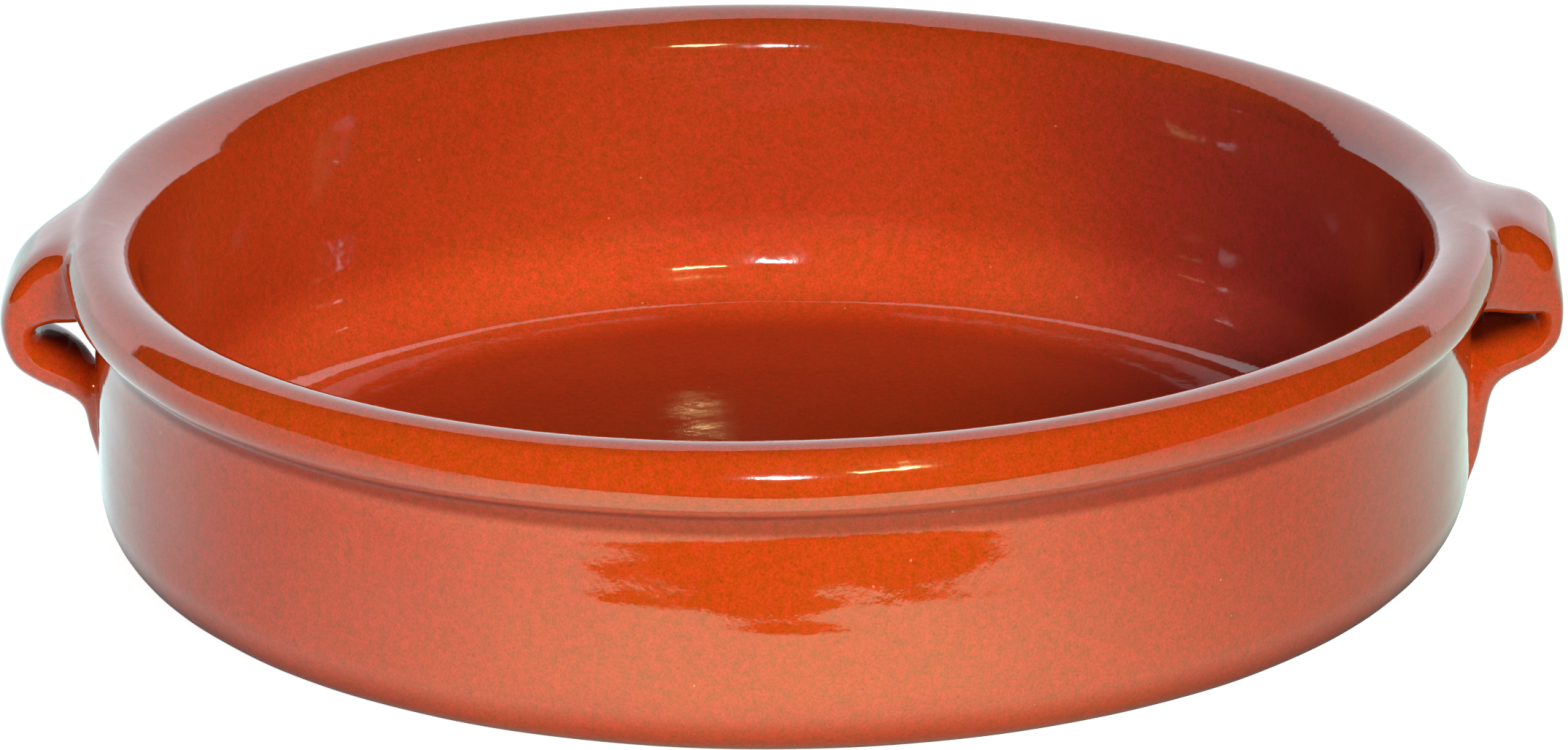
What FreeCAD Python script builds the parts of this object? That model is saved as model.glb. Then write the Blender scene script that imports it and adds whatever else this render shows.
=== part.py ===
import FreeCAD, Part
import math
import os
import Sketcher

V = FreeCAD.Vector
doc = FreeCAD.newDocument("terracotta_dish")

# Sizes in millimetres and degrees

sizes = doc.addObject("Spreadsheet::Sheet", "sizes")
rows = [
    ("total_height", 65.8, "base to the highest part of the rim"),
    ("rim_outer_radius", 140.0, "widest circle of the rolled rim"),
    ("rim_roll_radius", 6.8, "outside half of the rolled rim"),
    ("rim_inside_curve", 9.0, "inside half of the rim, softer than the outside"),
    ("rim_overhang", 5.2, "rim past the wall, measured in the groove under it"),
    ("wall_lean", 1.2, "wall top past its foot"),
    ("foot_curve", 14.0, "outside curve from the wall to the base"),
    ("floor_thickness", 4.4, "clay under the inside floor"),
    ("inside_lean", 3.2, "inside of the wall, past its foot at the floor"),
    ("inside_corner", 12.0, "inside curve from the floor to the wall"),
    ("groove_fillet", 2.6, "soft crease between the rim and the wall"),
    ("tail_past_wall", 3.5, "the tail ends this far below the top of the foot curve"),
    ("root_out", -9.0, "hidden root in the rim, from the rim's widest circle"),
    ("root_ratio", 0.852, "share of the way from the tail's end to the crest"),
    ("root_heading", 4.0, "degrees below the horizon"),
    ("root_thick", 12.0, "strap thickness"),
    ("root_wide", 40.0, "strap width"),
    ("root_back", 8.0, "middle of the strap behind the middle of the dish"),
    ("shoulder_out", -1.2, "where the strap leaves the rim, from its widest circle"),
    ("shoulder_ratio", 0.843, ""),
    ("shoulder_heading", 24.0, ""),
    ("shoulder_thick", 10.6, ""),
    ("shoulder_wide", 29.0, ""),
    ("shoulder_back", 7.5, ""),
    ("bend_out", 5.1, "outside bend, from the rim's widest circle"),
    ("bend_ratio", 0.778, ""),
    ("bend_heading", 50.0, ""),
    ("bend_thick", 10.2, ""),
    ("bend_wide", 24.0, ""),
    ("bend_back", 7.5, ""),
    ("grip_out", 8.9, "furthest out, from the rim's widest circle"),
    ("grip_ratio", 0.635, ""),
    ("grip_heading", 86.0, ""),
    ("grip_thick", 9.8, ""),
    ("grip_wide", 21.0, ""),
    ("grip_back", 7.0, ""),
    ("return_out", 10.8, "turning back, from the top of the wall"),
    ("return_ratio", 0.485, ""),
    ("return_heading", 134.0, ""),
    ("return_thick", 9.6, ""),
    ("return_wide", 17.0, ""),
    ("return_back", 5.0, ""),
    ("arm_out", 4.5, "lower arm, from the top of the wall"),
    ("arm_ratio", 0.403, ""),
    ("arm_heading", 142.0, ""),
    ("arm_thick", 9.0, ""),
    ("arm_wide", 13.0, ""),
    ("arm_back", 4.0, ""),
    ("join_out", 0.7, "lower arm runs into the wall"),
    ("join_ratio", 0.295, ""),
    ("join_heading", 114.0, ""),
    ("join_thick", 6.4, ""),
    ("join_wide", 9.4, ""),
    ("join_back", 4.0, ""),
    ("tail_out", -0.9, "tail pressed on the wall"),
    ("tail_ratio", 0.152, ""),
    ("tail_heading", 94.0, ""),
    ("tail_thick", 4.0, ""),
    ("tail_wide", 6.0, ""),
    ("tail_back", 4.0, ""),
    ("tip_out", -3.0, "end of the tail"),
    ("tip_ratio", 0.0, ""),
    ("tip_heading", 90.0, ""),
    ("tip_thick", 2.0, ""),
    ("tip_wide", 3.0, ""),
    ("tip_back", 4.0, ""),
]
for i, (alias, value, note) in enumerate(rows, start=1):
    sizes.set("A%d" % i, str(value))
    sizes.setAlias("A%d" % i, alias)
    sizes.set("B%d" % i, note)
doc.recompute()
size = {alias: float(value) for alias, value, note in rows}

# Bowl

dish = doc.addObject("PartDesign::Body", "dish")
dish.Label = "dish"
dish.Placement = FreeCAD.Placement(V(0, 0, 0), FreeCAD.Rotation())


def origin_item(role):
    for item in dish.Origin.OriginFeatures:
        if item.Role == role:
            return item
    raise RuntimeError("no origin item " + role)


def plane_sketch(name, role):
    sketch = dish.newObject("Sketcher::SketchObject", name)
    sketch.AttachmentSupport = [(origin_item(role), "")]
    sketch.MapMode = "FlatFace"
    return sketch


def fix(sketch, kind, args, expression):
    number = sketch.addConstraint(Sketcher.Constraint(kind, *args))
    sketch.setExpression("Constraints[%d]" % number, expression)
    return number


height = size["total_height"]
roll = size["rim_roll_radius"]
inner_roll = size["rim_inside_curve"]
crest_r = size["rim_outer_radius"] - roll
roll_z = height - roll
inner_r = crest_r - inner_roll
wall_top = size["rim_outer_radius"] - size["rim_overhang"]
crease = size["groove_fillet"]
crease_r = wall_top + crease
drop = ((roll + crease) ** 2 - (crease_r - crest_r) ** 2) ** 0.5
crease_z = roll_z - drop
share = roll / (roll + crease)
roll_start = V(crest_r + (crease_r - crest_r) * share, roll_z - drop * share, 0)
floor_z = size["floor_thickness"]
foot_r = wall_top - size["wall_lean"]
inner_foot_r = inner_r - size["inside_lean"]
in_centre = V(crest_r, height - inner_roll, 0)
to_foot = V(inner_foot_r, floor_z, 0) - in_centre
turn = math.atan2(to_foot.y, to_foot.x) - math.acos(inner_roll / to_foot.Length)
in_end = in_centre + V(math.cos(turn), math.sin(turn), 0) * inner_roll

section = plane_sketch("bowl_section", "XZ_Plane")
corner = [
    V(0, 0, 0),
    V(foot_r, 0, 0),
    V(wall_top, crease_z, 0),
    roll_start,
    V(crest_r, height, 0),
    in_end,
    V(inner_foot_r, floor_z, 0),
    V(0, floor_z, 0),
]
base_line = section.addGeometry(Part.LineSegment(corner[0], corner[1]), False)
wall_line = section.addGeometry(Part.LineSegment(corner[1], corner[2]), False)
crease_centre = V(crease_r, crease_z, 0)
toward = (corner[2] + corner[3]) * 0.5 - crease_centre
crease_mid = crease_centre + toward * (crease / toward.Length)
crease_arc = section.addGeometry(Part.Arc(corner[2], crease_mid, corner[3]), False)
out_mid = V(crest_r + roll, roll_z, 0)
in_mid = in_centre + V(-inner_roll * 0.5 ** 0.5, inner_roll * 0.5 ** 0.5, 0)
outer_arc = section.addGeometry(Part.Arc(corner[3], out_mid, corner[4]), False)
inner_arc = section.addGeometry(Part.Arc(corner[4], in_mid, corner[5]), False)
inner_line = section.addGeometry(Part.LineSegment(corner[5], corner[6]), False)
floor_line = section.addGeometry(Part.LineSegment(corner[6], corner[7]), False)
axis_line = section.addGeometry(Part.LineSegment(corner[7], corner[0]), False)


def end_at(geo, point):
    for end in (1, 2):
        if (section.getPoint(geo, end) - point).Length < 1e-6:
            return end
    raise RuntimeError("open corner in the section")


chain = [base_line, wall_line, crease_arc, outer_arc, inner_arc, inner_line, floor_line, axis_line]
ends = {}
for k, geo in enumerate(chain):
    start = end_at(geo, corner[k])
    stop = 3 - start
    ends[geo] = (start, stop)
for k, geo in enumerate(chain):
    after = chain[(k + 1) % len(chain)]
    pair = (geo, ends[geo][1], after, ends[after][0])
    kind = "Tangent" if geo in (wall_line, crease_arc, inner_arc) else "Coincident"
    section.addConstraint(Sketcher.Constraint(kind, *pair))
section.addConstraint(Sketcher.Constraint("Coincident", base_line, ends[base_line][0], -1, 1))
section.addConstraint(Sketcher.Constraint("Horizontal", base_line))
section.addConstraint(Sketcher.Constraint("Vertical", axis_line))
section.addConstraint(Sketcher.Constraint("Horizontal", floor_line))
fix(section, "DistanceX", (-1, 1, base_line, ends[base_line][1], foot_r),
    "sizes.rim_outer_radius - sizes.rim_overhang - sizes.wall_lean")
fix(section, "DistanceX", (-1, 1, wall_line, ends[wall_line][1], wall_top),
    "sizes.rim_outer_radius - sizes.rim_overhang")
fix(section, "Radius", (crease_arc, crease), "sizes.groove_fillet")
fix(section, "Radius", (outer_arc, roll), "sizes.rim_roll_radius")
fix(section, "DistanceX", (-1, 1, outer_arc, 3, crest_r), "sizes.rim_outer_radius - sizes.rim_roll_radius")
fix(section, "DistanceY", (-1, 1, outer_arc, 3, roll_z), "sizes.total_height - sizes.rim_roll_radius")
crest_end = ends[outer_arc][1]
fix(section, "DistanceX", (-1, 1, outer_arc, crest_end, crest_r),
    "sizes.rim_outer_radius - sizes.rim_roll_radius")
fix(section, "Radius", (inner_arc, inner_roll), "sizes.rim_inside_curve")
fix(section, "DistanceX", (-1, 1, inner_arc, 3, crest_r), "sizes.rim_outer_radius - sizes.rim_roll_radius")
fix(section, "DistanceX", (-1, 1, floor_line, ends[floor_line][0], inner_foot_r),
    "sizes.rim_outer_radius - sizes.rim_roll_radius - sizes.rim_inside_curve - sizes.inside_lean")
fix(section, "DistanceY", (-1, 1, floor_line, ends[floor_line][1], floor_z), "sizes.floor_thickness")
doc.recompute()

bowl = dish.newObject("PartDesign::Revolution", "bowl")
bowl.Profile = section
bowl.ReferenceAxis = (section, ["V_Axis"])
bowl.Angle = 360.0
section.Visibility = False
doc.recompute()


def circle_edges(feature, radius, z):
    names = []
    for k, edge in enumerate(feature.Shape.Edges, start=1):
        if edge.Curve.TypeId != "Part::GeomCircle":
            continue
        ring = edge.Curve
        if abs(ring.Radius - radius) < 0.01 and abs(ring.Center.z - z) < 0.01:
            names.append("Edge%d" % k)
    return names


def round_off(name, feature, edges, expression):
    if not edges:
        raise RuntimeError("no edge found for " + name)
    fillet = dish.newObject("PartDesign::Fillet", name)
    fillet.Base = (feature, edges)
    fillet.setExpression("Radius", expression)
    dish.Tip = fillet
    doc.recompute()
    return fillet


foot = round_off("foot_curve", bowl, circle_edges(bowl, foot_r, 0), "sizes.foot_curve")
inside = round_off("inside_corner", foot, circle_edges(foot, inner_foot_r, floor_z), "sizes.inside_corner")

# Handles


stations = ["root", "shoulder", "bend", "grip", "return", "arm", "join", "tail", "tip"]
on_wall = ["return", "arm", "join", "tail", "tip"]


def strap_section(part):
    sketch = plane_sketch("handle_" + part, "YZ_Plane")
    r = size[part + "_thick"] / 2
    c = (size[part + "_wide"] - size[part + "_thick"]) / 2
    up = V(0, 0, 1)
    near = sketch.addGeometry(Part.ArcOfCircle(Part.Circle(V(c, 0, 0), up, r), -1.5707963, 1.5707963), False)
    top = sketch.addGeometry(Part.LineSegment(V(c, r, 0), V(-c, r, 0)), False)
    far = sketch.addGeometry(Part.ArcOfCircle(Part.Circle(V(-c, 0, 0), up, r), 1.5707963, 4.7123890), False)
    under = sketch.addGeometry(Part.LineSegment(V(-c, -r, 0), V(c, -r, 0)), False)
    ring = [near, top, far, under]
    for k, geo in enumerate(ring):
        after = ring[(k + 1) % 4]
        sketch.addConstraint(Sketcher.Constraint("Tangent", geo, 2, after, 1))
    sketch.addConstraint(Sketcher.Constraint("Horizontal", top))
    sketch.addConstraint(Sketcher.Constraint("Equal", near, far))
    sketch.addConstraint(Sketcher.Constraint("PointOnObject", near, 3, -1))
    half = "(sizes.%s_wide - sizes.%s_thick) / 2" % (part, part)
    fix(sketch, "DistanceX", (-1, 1, near, 3, c), half)
    fix(sketch, "DistanceX", (far, 3, -1, 1, c), half)
    fix(sketch, "Radius", (near, r), "sizes.%s_thick / 2" % part)
    sketch.AttachmentOffset = FreeCAD.Placement(V(0, 0, 0), FreeCAD.Rotation(V(1, 0, 0), 1))
    sketch.setExpression(".AttachmentOffset.Base.x", "sizes.%s_back" % part)
    low = "sizes.foot_curve - sizes.tail_past_wall"
    rise = "%s + sizes.%s_ratio * (sizes.total_height - (%s))" % (low, part, low)
    sketch.setExpression(".AttachmentOffset.Base.y", rise)
    reach = "sizes.rim_outer_radius + sizes.%s_out"
    if part in on_wall:
        reach = "sizes.rim_outer_radius - sizes.rim_overhang + sizes.%s_out"
    sketch.setExpression(".AttachmentOffset.Base.z", reach % part)
    sketch.setExpression(".AttachmentOffset.Rotation.Angle", "sizes.%s_heading" % part)
    sketch.Visibility = False
    return sketch


sections = [strap_section(part) for part in stations]
doc.recompute()
handle = dish.newObject("PartDesign::AdditiveLoft", "handle")
handle.Profile = sections[0]
handle.Sections = sections[1:]
handle.Ruled = False
dish.Tip = handle
doc.recompute()
handles = dish.newObject("PartDesign::Mirrored", "handles")
handles.Originals = [handle]
handles.MirrorPlane = (origin_item("YZ_Plane"), [""])
dish.Tip = handles
doc.recompute()

# Checks and export

for item in doc.Objects:
    if "Invalid" in item.State or "Error" in item.State:
        raise RuntimeError("failed: " + item.Name)
    shape = getattr(item, "Shape", None)
    if item.TypeId.startswith("PartDesign::") and item.TypeId != "PartDesign::Body":
        if shape is None or shape.isNull() or not shape.isValid():
            raise RuntimeError("bad shape: " + item.Name)
solid = dish.Shape
if solid.isNull() or not solid.isValid() or len(solid.Solids) != 1:
    raise RuntimeError("the dish is not one sound solid")
os.makedirs("parts", exist_ok=True)
solid.exportStep("parts/dish.step")
box = solid.BoundBox
print("dish", round(box.XLength, 2), round(box.YLength, 2), round(box.ZLength, 2),
      "volume cm3", round(solid.Volume / 1000, 1))
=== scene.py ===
import math

import bmesh
import bpy
import numpy as np
from mathutils import Matrix, Vector
from mathutils.kdtree import KDTree
from mathutils import noise as field


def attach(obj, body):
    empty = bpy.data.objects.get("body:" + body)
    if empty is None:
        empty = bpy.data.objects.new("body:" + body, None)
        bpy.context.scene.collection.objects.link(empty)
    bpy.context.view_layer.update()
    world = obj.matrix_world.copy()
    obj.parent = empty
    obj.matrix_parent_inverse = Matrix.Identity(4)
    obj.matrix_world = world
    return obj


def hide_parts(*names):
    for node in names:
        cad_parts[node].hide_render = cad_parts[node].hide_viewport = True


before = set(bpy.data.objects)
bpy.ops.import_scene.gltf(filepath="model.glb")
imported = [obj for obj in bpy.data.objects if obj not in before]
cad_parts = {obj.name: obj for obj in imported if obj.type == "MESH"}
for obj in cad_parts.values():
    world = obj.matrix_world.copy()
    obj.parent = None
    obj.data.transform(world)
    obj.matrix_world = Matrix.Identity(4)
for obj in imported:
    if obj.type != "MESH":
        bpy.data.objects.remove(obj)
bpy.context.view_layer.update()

MM = 0.001

# Sizes of the dish, in millimetres and degrees

HEIGHT = 64.75
CREST_R = 133.8
TOP_CURVE = 4.9
FACE_TILT = 26.5
FACE = 1.6
OUTER_CURVE = 7.4
INSIDE_CURVE = 9.0
WALL_TOP_R = 134.8
WALL_FOOT_R = 133.6
FOOT_CURVE = 14.0
FLOOR = 4.4
UPPER_CORNER = 42.0
UPPER_END = 26.0
UPPER_END_Z = 9.9
LOWER_CORNER = 8.5
LOWER_END = 78.0
INNER_TOP_R = CREST_R - INSIDE_CURVE
INNER_LEAN = 4.3
CREASE = 3.0
FLARE = 0.45
FLARE_HEIGHT = 4.3
CREASE_START = 164
FOOT_SPREAD = 0.4
BEND_STEPS = 8
CAP_R = 8.0
STRAP_REACH = 153.5

# The turned grid is finer near the handles

HANDLE_ANGLE = 21.0
FINE_TURN = 0.45
TURN = 1.2

# Unevenness made by hand, in millimetres

TRUE_BELOW = 0.05
OVAL = 0.35
LOBES = 0.22
LUMPS = 0.22
RINGS = 0.012
SADDLE = 0.85
SWAY = 0.18
FLOOR_BAND = 8.0
SWIRL = 0.05
DOME = 0.25
DOME_R = 112.0


def smooth(lo, hi, x):
    t = min(max((x - lo) / (hi - lo), 0.0), 1.0)
    return t * t * (3 - 2 * t)


def put(name, data):
    """A new object, linked into the scene."""
    obj = bpy.data.objects.new(name, data)
    bpy.context.scene.collection.objects.link(obj)
    return obj


def ring_faces(rings, n):
    """Four-sided faces between rings of n points."""
    faces = []
    for i in range(rings - 1):
        for j in range(n):
            k = (j + 1) % n
            faces.append((i * n + j, i * n + k, (i + 1) * n + k, (i + 1) * n + j))
    return faces


# Bowl: section turned round the axis

def arc(points, cr, cz, radius, start, stop, steps):
    for k in range(1, steps + 1):
        a = math.radians(start + (stop - start) * k / steps)
        points.append((cr + radius * math.cos(a), cz + radius * math.sin(a)))


def line(points, r, z, steps):
    r0, z0 = points[-1]
    for k in range(1, steps + 1):
        points.append((r0 + (r - r0) * k / steps, z0 + (z - z0) * k / steps))


def bowl_section():
    points = [(CAP_R, 0.0)]
    foot_r = WALL_FOOT_R - FOOT_CURVE + FOOT_SPREAD
    line(points, foot_r, 0.0, 9)
    arc(points, foot_r, FOOT_CURVE, FOOT_CURVE, -90, -2, 13)
    tilt = math.radians(FACE_TILT)
    high_r, high_z = CREST_R, HEIGHT - TOP_CURVE
    face_r = high_r + TOP_CURVE * math.cos(tilt) + FACE * math.sin(tilt)
    face_z = high_z + TOP_CURVE * math.sin(tilt) - FACE * math.cos(tilt)
    low_r, low_z = face_r - OUTER_CURVE * math.cos(tilt), face_z - OUTER_CURVE * math.sin(tilt)
    crease_r = WALL_TOP_R + CREASE
    drop = math.sqrt((OUTER_CURVE + CREASE) ** 2 - (crease_r - low_r) ** 2)
    crease_z = low_z - drop
    flare_foot_r = WALL_TOP_R - FLARE
    line(points, flare_foot_r, crease_z - FLARE_HEIGHT, 30)
    for k in range(1, BEND_STEPS + 1):
        t = k / BEND_STEPS
        points.append((flare_foot_r + FLARE * t * t, crease_z - FLARE_HEIGHT * (1 - t)))
    meet = math.degrees(math.atan2(drop, low_r - crease_r))
    arc(points, crease_r, crease_z, CREASE, CREASE_START, meet, 12)
    arc(points, low_r, low_z, OUTER_CURVE, meet - 180, FACE_TILT, 15)
    line(points, high_r + TOP_CURVE * math.cos(tilt), high_z + TOP_CURVE * math.sin(tilt), 3)
    arc(points, high_r, high_z, TOP_CURVE, FACE_TILT, 90, 10)
    arc(points, CREST_R, HEIGHT - INSIDE_CURVE, INSIDE_CURVE, 90, 180 - INNER_LEAN, 16)
    lean, turned = math.radians(INNER_LEAN), math.radians(UPPER_END)
    wall_r, wall_z = points[-1]
    upper_z = UPPER_END_Z + UPPER_CORNER * math.sin(turned)
    foot_z = upper_z - UPPER_CORNER * math.sin(lean)
    foot_r = wall_r - (wall_z - foot_z) * math.tan(lean)
    line(points, foot_r, foot_z, 20)
    upper_r = foot_r - UPPER_CORNER * math.cos(lean)
    arc(points, upper_r, upper_z, UPPER_CORNER, -INNER_LEAN, -UPPER_END, 16)
    low_r = points[-1][0] - LOWER_CORNER * math.cos(turned)
    low_z = points[-1][1] + LOWER_CORNER * math.sin(turned)
    arc(points, low_r, low_z, LOWER_CORNER, -UPPER_END, -LOWER_END, 12)
    end_r, end_z = points[-1]
    run = 2 * (end_z - FLOOR) * math.tan(math.radians(LOWER_END))
    for k in range(1, BEND_STEPS + 1):
        t = k / BEND_STEPS
        points.append((end_r - run * t, FLOOR + (end_z - FLOOR) * (1 - t) ** 2))
    line(points, CAP_R, FLOOR, 24)
    return points


def turn_angles():
    angles, a = [], -180.0
    while a < 180.0 - 1e-6:
        angles.append(math.radians(a))
        near_handle = min(abs(a), abs(abs(a) - 180.0)) < HANDLE_ANGLE
        a += FINE_TURN if near_handle else TURN
    return angles


def hand(x, y, z):
    """Small unevenness of the thrown wall, outwards, in millimetres."""
    a = math.atan2(y, x)
    r = math.hypot(x, y)
    slow = OVAL * math.cos(2 * a + 0.6) + LOBES * math.sin(3 * a + 1.1)
    lumps = LUMPS * field.noise(Vector((x, y, z * 1.6)) * 0.045)
    rings = RINGS * math.sin(z * 1.05 + 0.9 * a + 1.4 * math.sin(z * 0.23))
    rings *= smooth(9.0, 16.0, z) * (1 - smooth(44.0, 49.0, z))
    return slow * smooth(90.0, 130.0, r) + lumps + rings


def warp(x, y, z):
    """The rim isn't flat: it rises and falls a little round the dish."""
    a = math.atan2(y, x)
    lift = smooth(6.0, 60.0, z)
    return lift * (-SADDLE * math.sin(2 * a) + SWAY * math.sin(3 * a + 0.5))


def shaped(x, y, z):
    """Where a point of the true section stands in the dish made by hand."""
    if z < TRUE_BELOW:
        return x, y, z
    r = math.hypot(x, y)
    grow = hand(x, y, z) / max(r, 1.0)
    up = warp(x, y, z)
    if 1.0 < z < FLOOR + FLOOR_BAND and r < INNER_TOP_R - 2.0:
        a = math.atan2(y, x)
        swirl = SWIRL * math.sin(r * 0.52 - a) * smooth(10.0, 30.0, r) * (1 - smooth(98.0, 112.0, r))
        dome = -DOME * math.cos(min(r / DOME_R, 1.0) * math.pi)
        up += swirl + dome
    return x * (1 + grow), y * (1 + grow), max(z + up, 0.0)


def bowl_mesh():
    section = bowl_section()
    angles = turn_angles()
    rows, n = len(section), len(angles)
    verts = [shaped(r * math.cos(a), r * math.sin(a), z) for r, z in section for a in angles]
    faces = ring_faces(rows, n)
    low, high = len(verts), len(verts) + 1
    verts.append((0.0, 0.0, 0.0))
    verts.append(shaped(0.0, 0.001, FLOOR))
    last = (rows - 1) * n
    for j in range(n):
        k = (j + 1) % n
        faces.append((low, k, j))
        faces.append((last + j, last + k, high))
    return verts, faces


# Handles: a strap pulled out of the rim, bent down and pressed on the wall

# each row: the outer face's distance from the axis and height, the inner face's distance and height,
# the width, how far the middle stands behind the axis, and the turn in degrees
LEFT = [
    (131.5, 63.9, 131.5, 46.0, 44, 9.0, 0),
    (137.2, 63.0, 135.2, 45.0, 38, 8.5, 0),
    (141.8, 60.6, 139.0, 44.0, 31, 8.0, 0),
    (146.8, 56.9, 142.4, 43.4, 26, 7.8, 0),
    (150.4, 52.4, 144.8, 42.8, 24, 7.5, 0),
    (152.7, 46.8, 146.0, 41.8, 22, 7.0, 0),
    (152.8, 41.0, 145.4, 40.2, 20, 6.5, 2),
    (150.4, 35.0, 143.4, 39.2, 18, 6.0, 7),
    (145.9, 31.5, 140.0, 37.8, 16, 5.4, 10),
    (140.4, 28.5, 136.5, 35.2, 13, 4.6, 9),
    (137.3, 25.2, 133.0, 29.8, 9, 3.6, 4),
    (136.0, 19.5, 132.0, 22.0, 5.5, 3.0, 0),
    (134.2, 12.5, 132.0, 12.5, 3, 3.0, 0),
]
RIGHT = [
    (131.5, 63.9, 131.5, 44.5, 44, 9.0, 0),
    (137.2, 64.1, 135.4, 43.4, 38, 8.5, 0),
    (142.4, 63.2, 139.6, 42.8, 32, 8.2, 0),
    (147.8, 60.8, 143.4, 42.8, 27, 8.0, -5),
    (151.4, 56.8, 146.0, 42.7, 25, 7.8, -5),
    (152.6, 51.2, 147.4, 42.3, 23, 7.5, -2),
    (152.6, 45.8, 147.6, 41.3, 21, 7.0, 6),
    (151.9, 41.0, 146.8, 40.2, 20, 6.6, 11),
    (150.4, 37.0, 145.0, 39.5, 19, 6.3, 17),
    (147.0, 33.8, 142.0, 38.8, 18, 6.0, 21),
    (142.2, 30.9, 137.8, 37.2, 16, 5.6, 23),
    (139.4, 26.8, 133.8, 33.0, 12, 4.8, 18),
    (138.1, 20.0, 133.0, 23.5, 8, 4.0, 7),
    (136.7, 12.0, 132.5, 12.5, 4.8, 3.4, 0),
    (134.2, 4.6, 131.5, 4.6, 3, 3.0, 0),
]

STRAP_POINTS = 60
STRAP_STEPS = 6


def catmull(rows, steps):
    rows = [np.array(row, float) for row in rows]
    rows = [2 * rows[0] - rows[1]] + rows + [2 * rows[-1] - rows[-2]]
    out = []
    for i in range(1, len(rows) - 2):
        p0, p1, p2, p3 = rows[i - 1:i + 3]
        for k in range(steps):
            t = k / steps
            out.append(0.5 * (2 * p1 + (p2 - p0) * t + (2 * p0 - 5 * p1 + 4 * p2 - p3) * t * t
                              + (3 * p1 - p0 - 3 * p2 + p3) * t ** 3))
    out.append(rows[-2])
    return out


def strap_mesh(side, stations):
    """side is 1 for the right handle and -1 for the left one."""
    path = catmull(stations, STRAP_STEPS)
    n = STRAP_POINTS
    verts = []
    for out_r, out_z, in_r, in_z, wide, behind_axis, turn in path:
        half = Vector(((out_r - in_r) / 2, (out_z - in_z) / 2))
        turn = math.radians(turn)
        # an oval section where the strap is narrow, and a squarer one where it is wide
        power = 2.0 / (2.3 + 1.7 * smooth(16.0, 26.0, wide))
        for j in range(n):
            a = 2 * math.pi * j / n
            c, s = math.cos(a), math.sin(a)
            across = math.copysign(abs(c) ** power, c) * wide / 2
            outwards = math.copysign(abs(s) ** power, s)
            lift = outwards - across * math.sin(turn) / half.length
            x = min((out_r + in_r) / 2 + half.x * lift, STRAP_REACH)
            z = (out_z + in_z) / 2 + half.y * lift
            verts.append((side * x, behind_axis + across * math.cos(turn), z))
    faces = ring_faces(len(path), n)
    faces.append(tuple(range(n))[::-1])
    faces.append(tuple(range((len(path) - 1) * n, len(path) * n)))
    if side > 0:
        faces = [face[::-1] for face in faces]
    moved = []
    for x, y, z in verts:
        bump = 0.25 * field.noise(Vector((x, y, z)) * 0.11 + Vector((side * 7, 3, 1)))
        q = Vector((x, y, z)) + Vector((side * 0.8, 0, 0.4)) * bump
        moved.append((q.x, q.y, q.z + warp(q.x, q.y, q.z)))
    return moved, faces


def build(name, verts, faces):
    mesh = bpy.data.meshes.new(name)
    mesh.from_pydata([(x * MM, y * MM, z * MM) for x, y, z in verts], [], faces)
    mesh.validate()
    bm = bmesh.new()
    bm.from_mesh(mesh)
    bmesh.ops.recalc_face_normals(bm, faces=bm.faces)
    bm.to_mesh(mesh)
    bm.free()
    return put(name, mesh)


def tree_of(points):
    tree = KDTree(len(points))
    for k, point in enumerate(points):
        tree.insert(point, k)
    tree.balance()
    return tree


bowl = build("bowl_form", *bowl_mesh())
left = build("left_form", *strap_mesh(-1, LEFT))
right = build("right_form", *strap_mesh(1, RIGHT))
before = tree_of([v.co for form in (bowl, left, right) for v in form.data.vertices])
for other in (left, right):
    union = bowl.modifiers.new("join", "BOOLEAN")
    union.operation = "UNION"
    union.solver = "EXACT"
    union.object = other
graph = bpy.context.evaluated_depsgraph_get()
joined = bpy.data.meshes.new_from_object(bowl.evaluated_get(graph), depsgraph=graph)
for old in (bowl, left, right):
    bpy.data.objects.remove(old)

# Seam: the points that the union made, and the glaze run smooth over them

MERGE = 0.00006
SEAM_APART = 0.00002
HANDLES_FROM = 0.120
GROUND = 0.002
RIM_BEHIND = 0.0545
RIM_IN_FRONT = 0.0575
REACH_BEHIND = 0.009
REACH_ON_TOP = 0.007
REACH_IN_CREASE = 0.0022
ROUNDS = 30

bm = bmesh.new()
bm.from_mesh(joined)
bmesh.ops.remove_doubles(bm, verts=bm.verts, dist=MERGE)
bmesh.ops.dissolve_degenerate(bm, edges=bm.edges, dist=MERGE)
bmesh.ops.triangulate(bm, faces=[f for f in bm.faces if len(f.verts) > 4])
bm.verts.ensure_lookup_table()
seam_tree = tree_of([v.co for v in bm.verts if before.find(v.co)[2] > SEAM_APART])


def seam_reach(co):
    """The strap is smoothed into the rim on top and behind, and keeps its crease in front."""
    if co.z > RIM_BEHIND and co.y > 0.0:
        return REACH_BEHIND
    if co.z > RIM_IN_FRONT:
        return REACH_ON_TOP
    return REACH_IN_CREASE


def soften(bm, rounds):
    """Relax the points near the seam, most of all those on it."""
    near = []
    for v in bm.verts:
        if abs(v.co.x) < HANDLES_FROM or v.co.z < GROUND:
            continue
        co, index, apart = seam_tree.find(v.co)
        reach = seam_reach(co)
        if apart < reach:
            near.append((v, 1 - (apart / reach) ** 2))
    for step in range(rounds):
        relaxed = []
        for v, weight in near:
            total = Vector((0, 0, 0))
            for e in v.link_edges:
                total += e.other_vert(v).co
            relaxed.append(v.co.lerp(total / len(v.link_edges), 0.5 * weight))
        for (v, weight), co in zip(near, relaxed):
            v.co = co


soften(bm, ROUNDS)
for f in bm.faces:
    f.smooth = True
bm.to_mesh(joined)
bm.free()
joined.name = "dish_body"
dish = put("glazed_dish", joined)

# Material helpers

def new_material(name):
    mat = bpy.data.materials.new(name)
    mat.use_nodes = True
    mat.node_tree.nodes.clear()
    return mat, mat.node_tree


def feed(tree, socket, value):
    if isinstance(value, bpy.types.NodeSocket):
        tree.links.new(value, socket)
    else:
        socket.default_value = value


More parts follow.
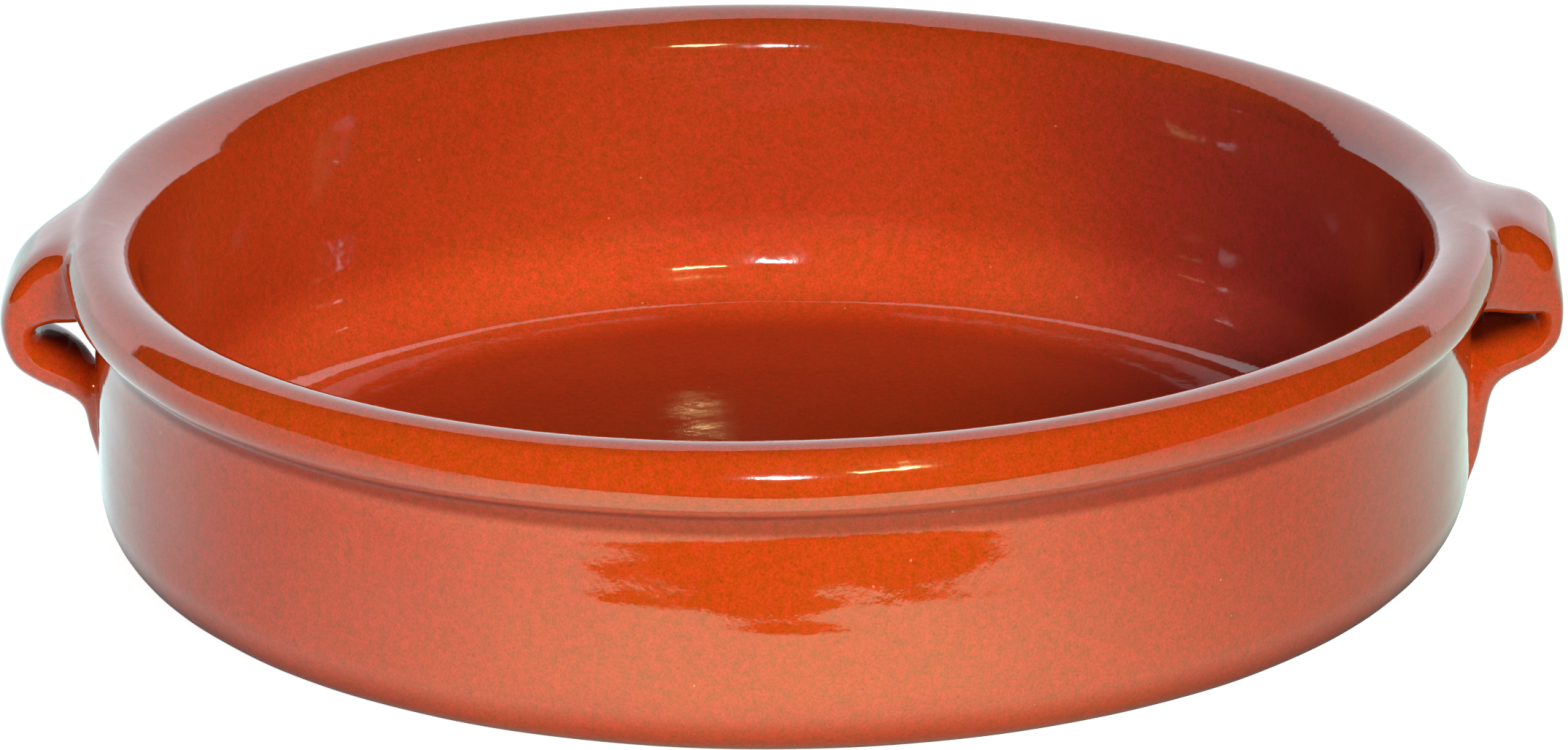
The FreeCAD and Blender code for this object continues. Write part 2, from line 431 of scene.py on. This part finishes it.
def node(tree, kind, inputs=None, **settings):
    made = tree.nodes.new(kind)
    for key, value in settings.items():
        setattr(made, key, value)
    for key, value in (inputs or {}).items():
        feed(tree, made.inputs[key], value)
    return made


def linear(r, g, b):
    def one(c):
        c /= 255.0
        return c / 12.92 if c <= 0.04045 else ((c + 0.055) / 1.055) ** 2.4
    return (one(r), one(g), one(b), 1.0)


def ramp(tree, value, stops):
    made = node(tree, "ShaderNodeValToRGB", {"Fac": value})
    band = made.color_ramp
    while len(band.elements) < len(stops):
        band.elements.new(0.5)
    for element, (place, colour) in zip(band.elements, stops):
        element.position = place
        element.color = colour if isinstance(colour, tuple) else (colour, colour, colour, 1.0)
    return made.outputs["Color"]


def noise_of(tree, where, scale, detail=2.0, rough=0.5):
    made = node(tree, "ShaderNodeTexNoise", {"Vector": where, "Scale": scale, "Detail": detail,
                                             "Roughness": rough})
    return made.outputs["Fac"]


def mix(tree, kind, share, a, b):
    made = node(tree, "ShaderNodeMix", {0: share, 6: a, 7: b}, data_type="RGBA", blend_type=kind)
    return made.outputs[2]


def maths(tree, kind, a, b=0.0, c=0.0):
    return node(tree, "ShaderNodeMath", {0: a, 1: b, 2: c}, operation=kind).outputs[0]


def product(tree, value, *factors):
    for factor in factors:
        value = maths(tree, "MULTIPLY", value, factor)
    return value


def fade(tree, value, start, stop, low=0.0, high=1.0, easing="SMOOTHSTEP"):
    """Goes from low to high while the value goes from start to stop."""
    made = node(tree, "ShaderNodeMapRange", {"Value": value, "From Min": start, "From Max": stop,
                                             "To Min": low, "To Max": high}, interpolation_type=easing)
    return made.outputs[0]


def scaled(tree, vector, scale):
    return node(tree, "ShaderNodeVectorMath", {0: vector, 1: scale}, operation="MULTIPLY").outputs[0]


def length(tree, vector):
    return node(tree, "ShaderNodeVectorMath", {0: vector}, operation="LENGTH").outputs["Value"]


# Glaze over red clay, with a bare base

# where a mask starts and where it is full, in metres
INSIDE_R = (0.129, 0.124)
CORNER_GLOW_Z = (0.026, 0.014)
CORNER_GLOW_R = (0.105, 0.113)
CREASE_LOW_Z = (0.0455, 0.0478)
CREASE_HIGH_Z = (0.0520, 0.0505)
FLAT_R = (0.108, 0.100)
RIGHT_X = (0.030, 0.128)
LOOP_LOW_Z = (0.0325, 0.0360)
LOOP_HIGH_Z = (0.0480, 0.0465)
LOOP_OUTER_X = (0.1492, 0.1480)
LOOP_INNER_X = (0.1345, 0.1352)
LOOP_Y = (-0.0010, 0.0050)

# where a mask has a sharp limit, in metres
INSIDE_ABOVE = 0.003
FLAT_BELOW = 0.010
CREASE_FROM_R = 0.132
CREASE_TO_R = 0.1378

glaze, tree = new_material("glazed_terracotta")
where = node(tree, "ShaderNodeTexCoord").outputs["Object"]
split = node(tree, "ShaderNodeSeparateXYZ", {"Vector": where})
up = split.outputs["Z"]
radius = length(tree, scaled(tree, where, (1.0, 1.0, 0.0)))
far_out = maths(tree, "ABSOLUTE", split.outputs["X"])

# slow clouds, a mottle, fine grain, brown spots and pale pinholes
SPOT_SHARE = 0.35
PIN_SIZE = 0.030
PIN_SHARE = 0.75
cloud = noise_of(tree, where, 22.0, 3.0)
colour = ramp(tree, cloud, [(0.35, linear(211, 71, 16)), (0.65, linear(216, 78, 19))])
mottle = ramp(tree, noise_of(tree, where, 620.0, 3.0, 0.62), [
    (0.30, (0.80, 1.06, 0.45, 1.0)), (0.50, (1.0, 1.0, 1.0, 1.0)), (0.70, (1.14, 0.97, 2.0, 1.0))])
colour = mix(tree, "MULTIPLY", 1.0, colour, mottle)
grain = ramp(tree, noise_of(tree, where, 2100.0, 2.0, 0.6), [(0.32, 0.84), (0.50, 1.0), (0.68, 1.12)])
colour = mix(tree, "MULTIPLY", 1.0, colour, grain)
spots = ramp(tree, noise_of(tree, where, 980.0), [(0.66, 0.0), (0.72, 1.0)])
colour = mix(tree, "MIX", product(tree, spots, SPOT_SHARE), colour, linear(128, 58, 10))
cells = node(tree, "ShaderNodeTexVoronoi", {"Vector": where, "Scale": 115.0}, feature="F1")
some = ramp(tree, cells.outputs["Color"], [(0.50, 0.0), (0.54, 1.0)])
pin = product(tree, maths(tree, "LESS_THAN", cells.outputs["Distance"], PIN_SIZE), some)
colour = mix(tree, "MIX", product(tree, pin, PIN_SHARE), colour, linear(240, 160, 100))

# parts of the dish with another tone inside, and with painted light and shade
inside = product(tree, fade(tree, radius, *INSIDE_R, easing="LINEAR"),
                 maths(tree, "GREATER_THAN", up, INSIDE_ABOVE))
# painted light: the lower inside corner is made brighter, a painted glow where light from the glossy
# floor would fall
painted_corner_glow = product(tree, fade(tree, up, *CORNER_GLOW_Z), fade(tree, radius, *CORNER_GLOW_R), inside)
# painted shade in the crease under the lip, where the lip's shadow falls
painted_crease_shade = product(tree, maths(tree, "GREATER_THAN", radius, CREASE_FROM_R),
                    maths(tree, "LESS_THAN", radius, CREASE_TO_R),
                    fade(tree, up, *CREASE_LOW_Z), fade(tree, up, *CREASE_HIGH_Z))
# painted shade on the flat inside floor, which faces the lamps less
painted_floor_shade = product(tree, fade(tree, radius, *FLAT_R), inside, maths(tree, "LESS_THAN", up, FLAT_BELOW))
# painted shade over the right half of the inside
painted_right_shade = product(tree, fade(tree, split.outputs["X"], *RIGHT_X), inside)
# painted shade in the slit inside each handle loop
painted_loop_shade = product(tree, fade(tree, up, *LOOP_LOW_Z), fade(tree, up, *LOOP_HIGH_Z),
                  fade(tree, far_out, *LOOP_OUTER_X), fade(tree, far_out, *LOOP_INNER_X),
                  fade(tree, split.outputs["Y"], *LOOP_Y))
colour = mix(tree, "ADD", inside, colour, (0.004, 0.002, 0.008, 1.0))
# multiply in the painted corner glow and the painted shade
for mask, change in ((painted_corner_glow, (1.30, 1.42, 1.5, 1.0)),
                     (painted_crease_shade, (0.62, 0.58, 1.4, 1.0)),
                     (painted_floor_shade, (0.80, 0.78, 1.1, 1.0)),
                     (painted_right_shade, (0.34, 0.34, 2.2, 1.0)),
                     (painted_loop_shade, (0.16, 0.14, 0.40, 1.0))):
    colour = mix(tree, "MULTIPLY", mask, colour, change)

# bare clay round the foot, up to an uneven line
bare_below = maths(tree, "MULTIPLY_ADD", noise_of(tree, where, 60.0, 3.0), 0.004, -0.0008)
bare = maths(tree, "LESS_THAN", up, bare_below)
clay = ramp(tree, noise_of(tree, where, 300.0, 4.0, 0.7),
            [(0.3, linear(150, 84, 52)), (0.55, linear(186, 112, 74)), (0.75, linear(204, 136, 96))])
colour = mix(tree, "MIX", bare, colour, clay)

# roughness of the glaze and of the bare clay
gloss = ramp(tree, noise_of(tree, where, 120.0, 3.0), [(0.3, 0.035), (0.7, 0.080)])
rough = mix(tree, "MIX", bare, gloss, (0.85, 0.85, 0.85, 1.0))

# unevenness of the glaze: each layer and its height in metres
streaked = scaled(tree, where, (1.0, 1.0, 0.15))
streaks = product(tree, noise_of(tree, streaked, 260.0), inside)
height = product(tree, noise_of(tree, where, 620.0), 0.000014)
for layer, depth in ((noise_of(tree, where, 190.0), 0.000034),
                     (noise_of(tree, where, 62.0), 0.00010),
                     (streaks, 0.00003),
                     (noise_of(tree, where, 1900.0), 0.000005),
                     (pin, 0.00006)):
    height = maths(tree, "MULTIPLY_ADD", layer, depth, height)
bump = node(tree, "ShaderNodeBump", {"Strength": 1.0, "Distance": 1.0, "Height": height})

# the crease and the loops mirror less than the rest: painted shade on their reflections
SHEEN = 0.5
CREASE_LESS = 0.32
LOOP_LESS = 0.30
sheen = maths(tree, "MULTIPLY_ADD", painted_crease_shade, -CREASE_LESS, SHEEN)
sheen = maths(tree, "MULTIPLY_ADD", painted_loop_shade, -LOOP_LESS, sheen)
shader = node(tree, "ShaderNodeBsdfPrincipled", {
    "Base Color": colour, "Roughness": rough, "IOR": 1.6, "Specular IOR Level": sheen,
    "Normal": bump.outputs["Normal"]})
node(tree, "ShaderNodeOutputMaterial", {"Surface": shader.outputs[0]})

joined.materials.clear()
joined.materials.append(glaze)
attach(dish, "root")
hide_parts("dish")

# Stage

def card(name, corners, mat, faces=((0, 1, 2, 3),)):
    mesh = bpy.data.meshes.new(name)
    mesh.from_pydata(corners, [], faces)
    mesh.materials.append(mat)
    obj = put(name, mesh)
    return obj


def square(half, height):
    return [(-half, -half, height), (half, -half, height), (half, half, height), (-half, half, height)]


TABLE_GLOW = 0.93
floor_mat, tree = new_material("pale_table")
rays = node(tree, "ShaderNodeLightPath")
white = node(tree, "ShaderNodeBsdfDiffuse", {"Color": (0.60, 0.60, 0.60, 1.0)})
seen = product(tree, rays.outputs["Is Camera Ray"], TABLE_GLOW)
glow = node(tree, "ShaderNodeEmission", {"Color": (1.0, 1.0, 1.0, 1.0), "Strength": seen})
both = node(tree, "ShaderNodeAddShader", {0: white.outputs[0], 1: glow.outputs[0]})
node(tree, "ShaderNodeOutputMaterial", {"Surface": both.outputs[0]})

card("table_top", square(9, 0), floor_mat)


def glowing(name, colour, strength):
    mat, tree = new_material(name)
    lit = node(tree, "ShaderNodeEmission", {"Color": colour, "Strength": strength})
    node(tree, "ShaderNodeOutputMaterial", {"Surface": lit.outputs[0]})
    return mat


dark_mat = glowing("dark_room", (0.012, 0.011, 0.012, 1.0), 1.0)
window_mat = glowing("pale_backdrop", (0.93, 0.96, 1.0, 1.0), 1.7)


def only_mirrored(obj):
    obj.visible_camera = False
    obj.visible_diffuse = False
    obj.visible_transmission = False
    obj.visible_volume_scatter = False
    obj.visible_shadow = False
    obj.visible_glossy = True


# what the glaze mirrors low down: a pale table, brightest in front, and a dark room past its edge
TABLE_EDGE = -0.2065
EDGE_SLOPE = 0.06
EDGE_BEND = -0.09
ROOM_GLOW = 0.012
FAR_GLOW = 0.76
NEAR_GLOW = 1.50
BACK_GLOW = 0.55
SHADE_R = (0.128, 0.144)
SHADE_GLOW = 0.15
MIRROR_LIFT = 0.0004

mirror_mat, tree = new_material("mirrored_table")
spot = node(tree, "ShaderNodeTexCoord").outputs["Object"]
axes = node(tree, "ShaderNodeSeparateXYZ", {"Vector": spot})
aside = maths(tree, "ABSOLUTE", axes.outputs["X"])
side_off = maths(tree, "MAXIMUM", maths(tree, "SUBTRACT", aside, 0.05), 0.0)
near = maths(tree, "MAXIMUM", maths(tree, "MULTIPLY_ADD", side_off, -6.5, 1.0), 0.0)
near = product(tree, near, fade(tree, axes.outputs["Y"], -0.07, -0.165, easing="LINEAR"))
behind = fade(tree, axes.outputs["Y"], -0.09, 0.05, high=BACK_GLOW, easing="LINEAR")
edge_at = maths(tree, "MULTIPLY_ADD", axes.outputs["X"], EDGE_SLOPE, TABLE_EDGE)
edge_at = maths(tree, "MULTIPLY_ADD", aside, EDGE_BEND, edge_at)
on_table = maths(tree, "GREATER_THAN", axes.outputs["Y"], edge_at)
bright = maths(tree, "ADD", maths(tree, "MULTIPLY_ADD", near, NEAR_GLOW, FAR_GLOW), behind)
# the mirrored table is darker close to the dish: a painted shadow of the dish
bright = product(tree, bright, fade(tree, length(tree, spot), *SHADE_R, low=SHADE_GLOW))
bright = maths(tree, "MULTIPLY_ADD", on_table, bright, ROOM_GLOW)
sides = fade(tree, axes.outputs["X"], -0.12, 0.12, easing="LINEAR")
tint = mix(tree, "MIX", sides, (0.83, 1.08, 1.09, 1.0), (0.73, 0.97, 0.86, 1.0))
tint = mix(tree, "MIX", near, tint, (0.58, 1.06, 0.72, 1.0))
lit = node(tree, "ShaderNodeEmission", {"Color": tint, "Strength": bright})
node(tree, "ShaderNodeOutputMaterial", {"Surface": lit.outputs[0]})
only_mirrored(card("mirrored_table", square(4, MIRROR_LIFT), mirror_mat))

# a dark round room with a pale backdrop behind the dish; angles in degrees
WINDOW_SIDE = 60.0
WINDOW_TOP = 78.0
ROOM_R = 3.4
AZIMUTH_STEP = 4
LEVEL_STEP = 2
room_verts, room_faces, pale_faces = [], [], []
azimuths = [math.radians(-180 + AZIMUTH_STEP * k) for k in range(360 // AZIMUTH_STEP + 1)]
levels = [math.radians(LEVEL_STEP * k) for k in range(90 // LEVEL_STEP + 1)]
for level in levels:
    for azimuth in azimuths:
        room_verts.append((ROOM_R * math.cos(level) * math.sin(azimuth),
                           ROOM_R * math.cos(level) * math.cos(azimuth),
                           ROOM_R * math.sin(level)))
n = len(azimuths)
for i in range(len(levels) - 1):
    for j in range(n - 1):
        azimuth = abs(math.degrees((azimuths[j] + azimuths[j + 1]) / 2))
        level = math.degrees((levels[i] + levels[i + 1]) / 2)
        face = (i * n + j, i * n + j + 1, (i + 1) * n + j + 1, (i + 1) * n + j)
        if azimuth < WINDOW_SIDE and level < WINDOW_TOP:
            pale_faces.append(face)
        else:
            room_faces.append(face)
only_mirrored(card("dark_room", room_verts, dark_mat, room_faces))
only_mirrored(card("pale_backdrop", room_verts, window_mat, pale_faces))

# Lights

TARGET = Vector((0.0, 0.0, 0.035))


def lamp(name, azimuth, elevation, distance, width, depth, level, colour, lights=True, shines=True):
    """An area lamp turned to the dish; level 1 lights a surface that faces it at its own colour."""
    a, e = math.radians(azimuth), math.radians(elevation)
    data = bpy.data.lights.new(name, "AREA")
    data.shape = "RECTANGLE"
    data.size = width
    data.size_y = depth
    data.energy = level * (math.pi * distance) ** 2
    data.color = colour
    obj = put(name, data)
    toward = Vector((math.sin(a) * math.cos(e), -math.cos(a) * math.cos(e), math.sin(e)))
    obj.location = TARGET + toward * distance
    obj.rotation_mode = "QUATERNION"
    obj.rotation_quaternion = toward.to_track_quat("Z", "Y")
    obj.visible_diffuse = lights
    obj.visible_glossy = shines
    return obj


lamp("flash", 0.0, 21.0, 2.2, 0.14, 0.16, 0.12, (0.96, 0.98, 1.0), shines=False)
lamp("warm_lamp", 16.0, 28.0, 2.0, 0.32, 0.09, 0.08, (1.0, 0.80, 0.36), shines=False)
lamp("flash_glint", 0.0, 21.0, 2.2, 0.10, 0.07, 1.3, (0.96, 0.98, 1.0), lights=False)
lamp("warm_glint", 16.0, 28.0, 2.0, 0.30, 0.06, 0.95, (1.0, 0.80, 0.34), lights=False)
lamp("key", 10.0, 20.0, 2.0, 0.25, 0.2, 0.53, (1.0, 0.98, 0.96), shines=False)
lamp("low_side", -34.0, 1.0, 1.3, 0.5, 0.05, 0.21, (0.97, 0.99, 1.0), shines=False)
lamp("behind", 180.0, 7.0, 1.6, 0.5, 0.2, 0.30, (1.0, 0.99, 0.98), shines=False)

world = bpy.data.worlds.new("studio")
bpy.context.scene.world = world
world.use_nodes = True
tree = world.node_tree
tree.nodes.clear()
rays = node(tree, "ShaderNodeLightPath")
seen = maths(tree, "ADD", rays.outputs["Is Camera Ray"], rays.outputs["Is Glossy Ray"])
seen = maths(tree, "ADD", seen, rays.outputs["Is Transmission Ray"])
seen = maths(tree, "MINIMUM", seen, 1.0)
soft = node(tree, "ShaderNodeBackground", {"Color": (1.0, 1.0, 1.0, 1.0), "Strength": 0.025})
plain = node(tree, "ShaderNodeBackground", {"Color": (1.0, 1.0, 1.0, 1.0), "Strength": 1.0})
pick = node(tree, "ShaderNodeMixShader", {0: seen, 1: soft.outputs[0], 2: plain.outputs[0]})
node(tree, "ShaderNodeOutputWorld", {"Surface": pick.outputs[0]})

# Camera

CAMERA_DISTANCE = 2.2885
CAMERA_ELEVATION = math.radians(19.464)
CAMERA_ROLL = math.radians(-0.598)
AIM = Vector((0.00036, 0.0, 0.0310))

data = bpy.data.cameras.new("camera")
camera = put("camera", data)
back = Vector((0.0, -math.cos(CAMERA_ELEVATION), math.sin(CAMERA_ELEVATION)))
side = Vector((1.0, 0.0, 0.0))
over = back.cross(side)
right_way = side * math.cos(CAMERA_ROLL) + over * math.sin(CAMERA_ROLL)
up_way = over * math.cos(CAMERA_ROLL) - side * math.sin(CAMERA_ROLL)
place = Matrix((right_way, up_way, back)).transposed().to_4x4()
place.translation = AIM + back * CAMERA_DISTANCE
camera.matrix_world = place
data.sensor_width = 36.0
data.lens = 268.03
data.clip_start = 0.05
data.clip_end = 50.0
bpy.context.scene.camera = camera

bpy.context.scene.view_settings.view_transform = "Standard"

print("triangles", sum(len(p.vertices) - 2 for p in joined.polygons))
bpy.context.view_layer.update()
